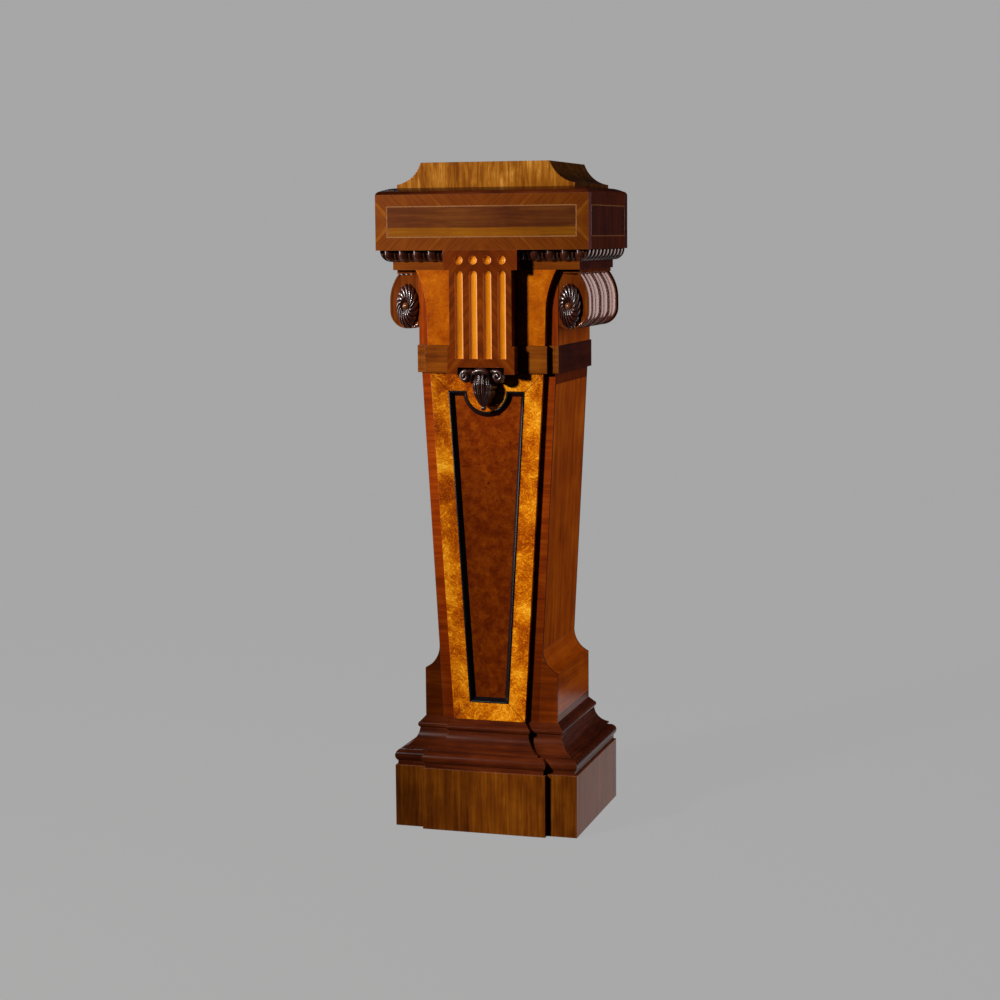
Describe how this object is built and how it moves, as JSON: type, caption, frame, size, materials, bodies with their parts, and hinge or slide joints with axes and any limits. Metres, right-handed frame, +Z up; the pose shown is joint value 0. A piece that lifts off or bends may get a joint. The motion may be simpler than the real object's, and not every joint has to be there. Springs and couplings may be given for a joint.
{
  "type": "pedestal column stand",
  "caption": "Tapering veneered pedestal with a fluted capital block, side consoles and a wide inlaid frieze, for standing a bust, lamp or plant on.",
  "frame": {"origin": "on the floor, under the middle of the stand's bounding box", "axes": "+Z up, front facing -Y, +X to the viewer's right when facing the front"},
  "size_m": [0.39, 0.314, 1.2],
  "materials": {
    "walnut": "polished, crossbanded",
    "plinth_walnut": "polished, upright grain",
    "mahogany": "polished",
    "dark_carving": "dark polished carving",
    "burr_frame": "polished burr veneer",
    "burr_panel": "polished burr veneer",
    "ebonised": "black polished",
    "light_string": "polished light wood",
    "cap_veneer": "polished, striped figure",
    "block_walnut": "polished, slanting grain",
    "carcass": "plain, unpolished",
    "steel": "plain"
  },
  "bodies": {
    "root": {"abacus_board": "mahogany", "base_moulding_back": "mahogany", "base_moulding_break": "mahogany", "base_moulding_front_left": "mahogany", "base_moulding_front_right": "mahogany", "base_moulding_left": "mahogany", "base_moulding_right": "mahogany", "base_platform": "mahogany", "burr_panel": "burr_panel", "cap_block": "cap_veneer", "collar_back": "walnut", "collar_front": "walnut", "collar_left": "walnut", "collar_right": "walnut", "console_left": "walnut", "console_right": "walnut", "ebony_moulding_bottom": "ebonised", "ebony_moulding_left": "ebonised", "ebony_moulding_right": "ebonised", "ebony_moulding_top": "ebonised", "egg_moulding_back": "dark_carving", "egg_moulding_front_left": "dark_carving", "egg_moulding_front_right": "dark_carving", "egg_moulding_left": "dark_carving", "egg_moulding_right": "dark_carving", "fluted_block": "block_walnut", "foot_left": "mahogany", "foot_right": "mahogany", "frame_bottom_rail": "burr_frame", "frame_stile_left": "burr_frame", "frame_stile_right": "burr_frame", "frame_top_rail": "burr_frame", "frieze_back": "carcass", "frieze_front": "walnut", "frieze_glue_blocks": "carcass", "frieze_left": "walnut", "frieze_right": "walnut", "leaf_drop": "dark_carving", "neck_back": "carcass", "neck_front": "carcass", "neck_left": "mahogany", "neck_panel": "burr_frame", "neck_right": "mahogany", "plinth_back": "carcass", "plinth_break": "plinth_walnut", "plinth_front": "plinth_walnut", "plinth_glue_blocks": "carcass", "plinth_left": "plinth_walnut", "plinth_right": "plinth_walnut", "rosette_left": "dark_carving", "rosette_right": "dark_carving", "shaft_back": "carcass", "shaft_front": "carcass", "shaft_left": "mahogany", "shaft_right": "mahogany", "shaft_top_board": "carcass", "soffit_board": "carcass", "stringing": "light_string", "top_board": "mahogany", "wood_screws": "steel"}
  },
  "joints": []
}
